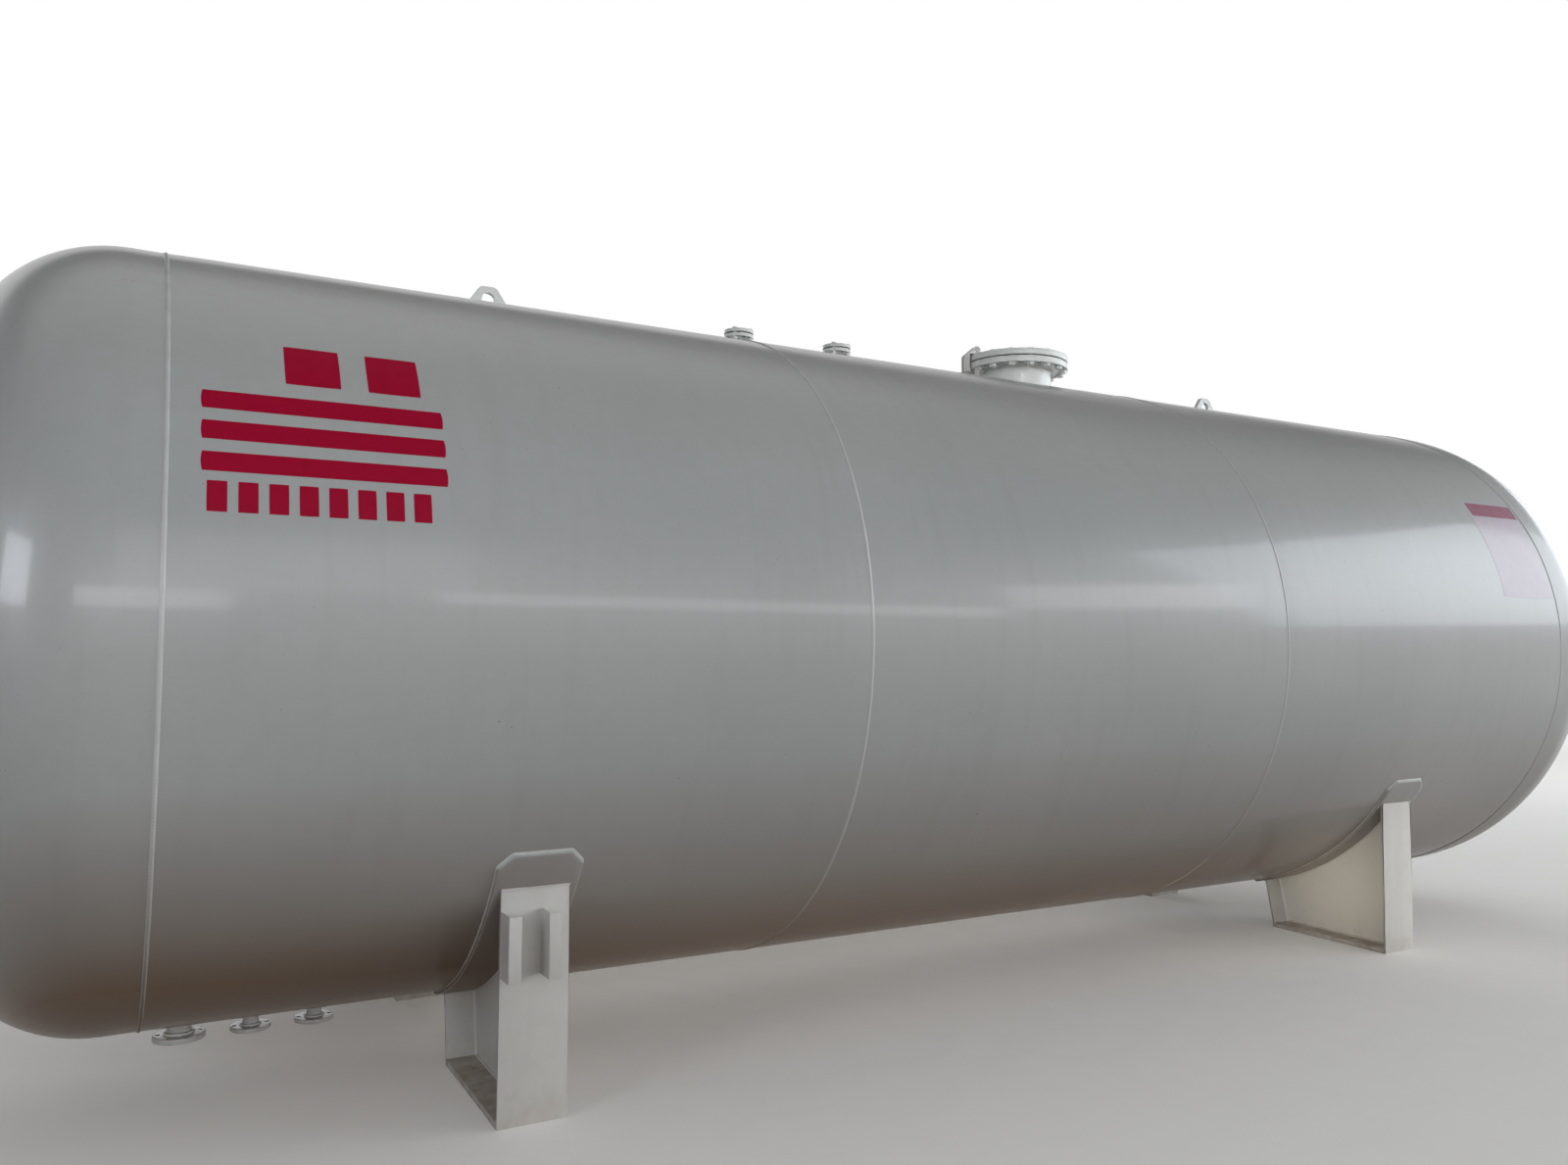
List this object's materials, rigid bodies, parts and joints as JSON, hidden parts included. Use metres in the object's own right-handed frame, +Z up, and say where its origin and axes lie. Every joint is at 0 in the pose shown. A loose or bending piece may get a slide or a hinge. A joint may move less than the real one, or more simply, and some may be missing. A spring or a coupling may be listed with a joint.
{
  "type": "horizontal pressure tank",
  "caption": "Long horizontal steel pressure tank with dished ends, a bolted manhole, small nozzles and four welded plate legs.",
  "frame": {"origin": "on the ground under the middle of the tank", "axes": "+X along the tank towards the manhole's end, -Y to the front with the plate bracket, +Z up"},
  "size_m": [9.0234, 2.9548, 3.4048],
  "materials": {
    "tank_paint": "gloss",
    "leg_paint": "gloss",
    "bare_steel": "satin",
    "gasket": "matt"
  },
  "bodies": {
    "root": {"shell_course_left": "tank_paint", "shell_course_middle": "tank_paint", "shell_course_right": "tank_paint", "head_left": "tank_paint", "head_right": "tank_paint", "girth_welds": "tank_paint", "long_seam_welds": "tank_paint", "manhole_neck": "tank_paint", "manhole_flange": "tank_paint", "manhole_cover": "tank_paint", "top_nozzle_left": "tank_paint", "top_nozzle_right": "tank_paint", "top_blind_left": "tank_paint", "top_blind_right": "tank_paint", "lifting_lug_left": "tank_paint", "lifting_lug_right": "tank_paint", "bottom_nozzle_left": "tank_paint", "bottom_nozzle_middle": "tank_paint", "bottom_nozzle_right": "tank_paint", "wear_pad_left_front": "tank_paint", "wear_pad_left_rear": "tank_paint", "wear_pad_right_front": "tank_paint", "wear_pad_right_rear": "tank_paint", "leg_outer_plate_left_front": "leg_paint", "leg_outer_plate_left_rear": "leg_paint", "leg_outer_plate_right_front": "leg_paint", "leg_outer_plate_right_rear": "leg_paint", "leg_web_left_front": "leg_paint", "leg_web_left_rear": "leg_paint", "leg_web_right_front": "leg_paint", "leg_web_right_rear": "leg_paint", "leg_inner_plate_left_front": "leg_paint", "leg_inner_plate_left_rear": "leg_paint", "leg_inner_plate_right_front": "leg_paint", "leg_inner_plate_right_rear": "leg_paint", "base_plate_left_front": "leg_paint", "base_plate_left_rear": "leg_paint", "base_plate_right_front": "leg_paint", "base_plate_right_rear": "leg_paint", "plate_bracket": "leg_paint", "cover_hinge_cheeks": "leg_paint", "cover_hinge_arm": "leg_paint", "cover_hinge_pin": "bare_steel", "manhole_gasket": "gasket", "top_gaskets": "gasket"}
  },
  "joints": []
}
